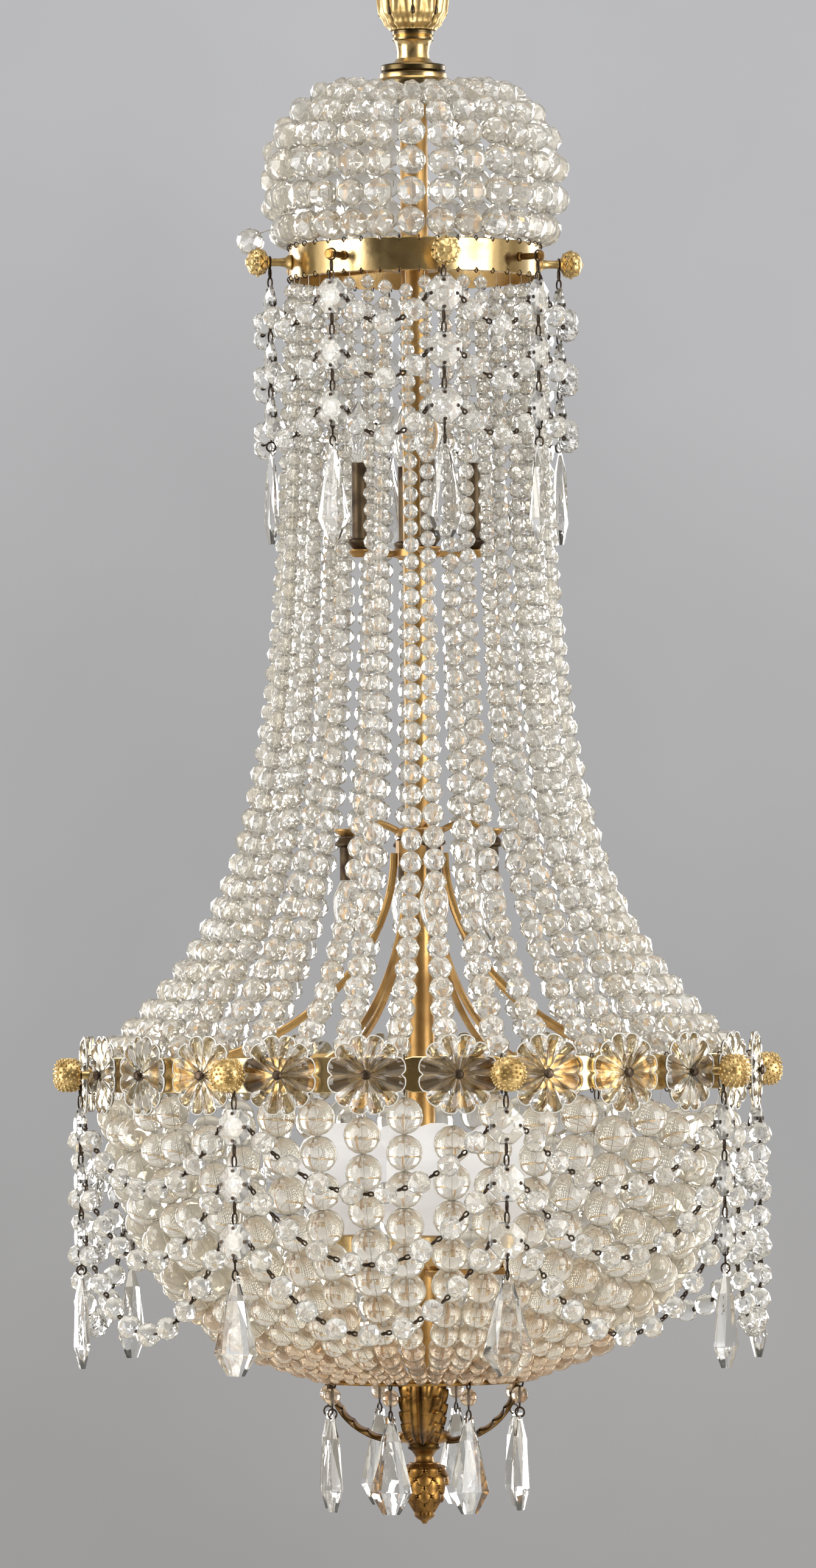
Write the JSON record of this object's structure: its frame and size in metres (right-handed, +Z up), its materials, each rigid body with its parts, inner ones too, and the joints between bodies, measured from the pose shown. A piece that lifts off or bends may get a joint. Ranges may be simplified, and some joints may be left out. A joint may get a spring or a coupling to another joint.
{
  "type": "crystal chandelier",
  "caption": "Hanging bag-and-basket chandelier: brass rings on a column, curtains of glass beads, crystal swags, swinging prisms and inner lamps.",
  "frame": {"origin": "centre of the bore in the cast hanging eye at the top", "axes": "+Z up along the central column, +Y along the hanging bore"},
  "size_m": [0.529, 0.529, 1.174],
  "materials": {
    "cut_glass": "clear, faceted lead crystal with a warm cast",
    "gilt_brass": "polished gilt brass, worn at the edges",
    "aged_bronze": "cast bronze with brown patina in the hollows",
    "bronze_wire": "dull dark bronze wire",
    "pin_metal": "dark domed pin heads",
    "socket_metal": "dull brass cups and dark candle tubes",
    "clear_bulb": "clear blown glass",
    "frosted_bulb": "frosted white glass"
  },
  "bodies": {
    "frame": {"acanthus_cup": "aged_bronze", "basket_bulbs": "frosted_bulb", "basket_lamp_arms": "gilt_brass", "basket_sockets": "socket_metal", "basket_strings": "cut_glass", "body_strings": "cut_glass", "bottom_drop_hooks": "bronze_wire", "bottom_finial": "aged_bronze", "bottom_ring": "gilt_brass", "candle_bulbs": "clear_bulb", "candle_sockets": "socket_metal", "column_tube": "gilt_brass", "crown_canopy": "gilt_brass", "crown_strings": "cut_glass", "hanging_eye": "gilt_brass", "leaf_bracket": "aged_bronze", "lower_drop_crystals": "cut_glass", "lower_drop_wires": "bronze_wire", "lower_ring": "gilt_brass", "lower_ring_knobs": "gilt_brass", "lower_swags": "cut_glass", "middle_lamp_arms": "gilt_brass", "neck_baluster": "gilt_brass", "ring_stays": "gilt_brass", "rosette_pins": "pin_metal", "rosettes": "cut_glass", "stay_hub": "gilt_brass", "upper_drop_crystals": "cut_glass", "upper_drop_wires": "bronze_wire", "upper_lamp_arms": "gilt_brass", "upper_ring": "gilt_brass", "upper_ring_knobs": "gilt_brass", "upper_ring_pins": "gilt_brass", "upper_ring_spider": "gilt_brass", "upper_swags": "cut_glass"},
    "upper_prism_1": {"upper_prism_1": "cut_glass"},
    "upper_prism_2": {"upper_prism_2": "cut_glass"},
    "upper_prism_3": {"upper_prism_3": "cut_glass"},
    "upper_prism_4": {"upper_prism_4": "cut_glass"},
    "upper_prism_5": {"upper_prism_5": "cut_glass"},
    "upper_prism_6": {"upper_prism_6": "cut_glass"},
    "upper_prism_7": {"upper_prism_7": "cut_glass"},
    "upper_prism_8": {"upper_prism_8": "cut_glass"},
    "lower_prism_1": {"lower_prism_1": "cut_glass"},
    "lower_prism_2": {"lower_prism_2": "cut_glass"},
    "lower_prism_3": {"lower_prism_3": "cut_glass"},
    "lower_prism_4": {"lower_prism_4": "cut_glass"},
    "lower_prism_5": {"lower_prism_5": "cut_glass"},
    "lower_prism_6": {"lower_prism_6": "cut_glass"},
    "lower_prism_7": {"lower_prism_7": "cut_glass"},
    "lower_prism_8": {"lower_prism_8": "cut_glass"},
    "bottom_prism_1": {"bottom_prism_1": "cut_glass"},
    "bottom_prism_2": {"bottom_prism_2": "cut_glass"},
    "bottom_prism_3": {"bottom_prism_3": "cut_glass"},
    "bottom_prism_4": {"bottom_prism_4": "cut_glass"},
    "bottom_prism_5": {"bottom_prism_5": "cut_glass"},
    "bottom_prism_6": {"bottom_prism_6": "cut_glass"},
    "bottom_prism_7": {"bottom_prism_7": "cut_glass"},
    "bottom_prism_8": {"bottom_prism_8": "cut_glass"}
  },
  "joints": [
    {"name": "upper_prism_1_swing", "type": "hinge", "parent": "frame", "child": "upper_prism_1", "pos_m": [0.10454, 0.02032, -0.3735], "axis": [0.1908, -0.9816, 0], "range_deg": [0, 30]},
    {"name": "upper_prism_2_swing", "type": "hinge", "parent": "frame", "child": "upper_prism_2", "pos_m": [0.05955, 0.08829, -0.3735], "axis": [0.829, -0.5592, 0], "range_deg": [0, 30]},
    {"name": "upper_prism_3_swing", "type": "hinge", "parent": "frame", "child": "upper_prism_3", "pos_m": [-0.02032, 0.10454, -0.3735], "axis": [0.9816, 0.1908, 0], "range_deg": [0, 30]},
    {"name": "upper_prism_4_swing", "type": "hinge", "parent": "frame", "child": "upper_prism_4", "pos_m": [-0.08829, 0.05955, -0.3735], "axis": [0.5592, 0.829, 0], "range_deg": [0, 30]},
    {"name": "upper_prism_5_swing", "type": "hinge", "parent": "frame", "child": "upper_prism_5", "pos_m": [-0.10454, -0.02032, -0.3735], "axis": [-0.1908, 0.9816, 0], "range_deg": [0, 30]},
    {"name": "upper_prism_6_swing", "type": "hinge", "parent": "frame", "child": "upper_prism_6", "pos_m": [-0.05955, -0.08829, -0.3735], "axis": [-0.829, 0.5592, 0], "range_deg": [0, 30]},
    {"name": "upper_prism_7_swing", "type": "hinge", "parent": "frame", "child": "upper_prism_7", "pos_m": [0.02032, -0.10454, -0.3735], "axis": [-0.9816, -0.1908, 0], "range_deg": [0, 30]},
    {"name": "upper_prism_8_swing", "type": "hinge", "parent": "frame", "child": "upper_prism_8", "pos_m": [0.08829, -0.05955, -0.3735], "axis": [-0.5592, -0.829, 0], "range_deg": [0, 30]},
    {"name": "lower_prism_1_swing", "type": "hinge", "parent": "frame", "child": "lower_prism_1", "pos_m": [0.24407, 0.0586, -0.9645], "axis": [0.2334, -0.9724, 0], "range_deg": [-25, 30]},
    {"name": "lower_prism_2_swing", "type": "hinge", "parent": "frame", "child": "lower_prism_2", "pos_m": [0.13115, 0.21401, -0.9645], "axis": [0.8526, -0.5225, 0], "range_deg": [-25, 30]},
    {"name": "lower_prism_3_swing", "type": "hinge", "parent": "frame", "child": "lower_prism_3", "pos_m": [-0.0586, 0.24407, -0.9645], "axis": [0.9724, 0.2334, 0], "range_deg": [-25, 30]},
    {"name": "lower_prism_4_swing", "type": "hinge", "parent": "frame", "child": "lower_prism_4", "pos_m": [-0.21401, 0.13115, -0.9645], "axis": [0.5225, 0.8526, 0], "range_deg": [-25, 30]},
    {"name": "lower_prism_5_swing", "type": "hinge", "parent": "frame", "child": "lower_prism_5", "pos_m": [-0.24407, -0.0586, -0.9645], "axis": [-0.2334, 0.9724, 0], "range_deg": [-25, 30]},
    {"name": "lower_prism_6_swing", "type": "hinge", "parent": "frame", "child": "lower_prism_6", "pos_m": [-0.13115, -0.21401, -0.9645], "axis": [-0.8526, 0.5225, 0], "range_deg": [-25, 30]},
    {"name": "lower_prism_7_swing", "type": "hinge", "parent": "frame", "child": "lower_prism_7", "pos_m": [0.0586, -0.24407, -0.9645], "axis": [-0.9724, -0.2334, 0], "range_deg": [-25, 30]},
    {"name": "lower_prism_8_swing", "type": "hinge", "parent": "frame", "child": "lower_prism_8", "pos_m": [0.21401, -0.13115, -0.9645], "axis": [-0.5225, -0.8526, 0], "range_deg": [-25, 30]},
    {"name": "bottom_prism_1_swing", "type": "hinge", "parent": "frame", "child": "bottom_prism_1", "pos_m": [0.06561, 0.032, -1.07], "axis": [0.4384, -0.8988, 0], "range_deg": [-15, 30]},
    {"name": "bottom_prism_2_swing", "type": "hinge", "parent": "frame", "child": "bottom_prism_2", "pos_m": [0.02377, 0.06902, -1.07], "axis": [0.9455, -0.3256, 0], "range_deg": [-15, 30]},
    {"name": "bottom_prism_3_swing", "type": "hinge", "parent": "frame", "child": "bottom_prism_3", "pos_m": [-0.032, 0.06561, -1.07], "axis": [0.8988, 0.4384, 0], "range_deg": [-15, 30]},
    {"name": "bottom_prism_4_swing", "type": "hinge", "parent": "frame", "child": "bottom_prism_4", "pos_m": [-0.06902, 0.02377, -1.07], "axis": [0.3256, 0.9455, 0], "range_deg": [-15, 30]},
    {"name": "bottom_prism_5_swing", "type": "hinge", "parent": "frame", "child": "bottom_prism_5", "pos_m": [-0.06561, -0.032, -1.07], "axis": [-0.4384, 0.8988, 0], "range_deg": [-15, 30]},
    {"name": "bottom_prism_6_swing", "type": "hinge", "parent": "frame", "child": "bottom_prism_6", "pos_m": [-0.02377, -0.06902, -1.07], "axis": [-0.9455, 0.3256, 0], "range_deg": [-15, 30]},
    {"name": "bottom_prism_7_swing", "type": "hinge", "parent": "frame", "child": "bottom_prism_7", "pos_m": [0.032, -0.06561, -1.07], "axis": [-0.8988, -0.4384, 0], "range_deg": [-15, 30]},
    {"name": "bottom_prism_8_swing", "type": "hinge", "parent": "frame", "child": "bottom_prism_8", "pos_m": [0.06902, -0.02377, -1.07], "axis": [-0.3256, -0.9455, 0], "range_deg": [-15, 30]}
  ]
}
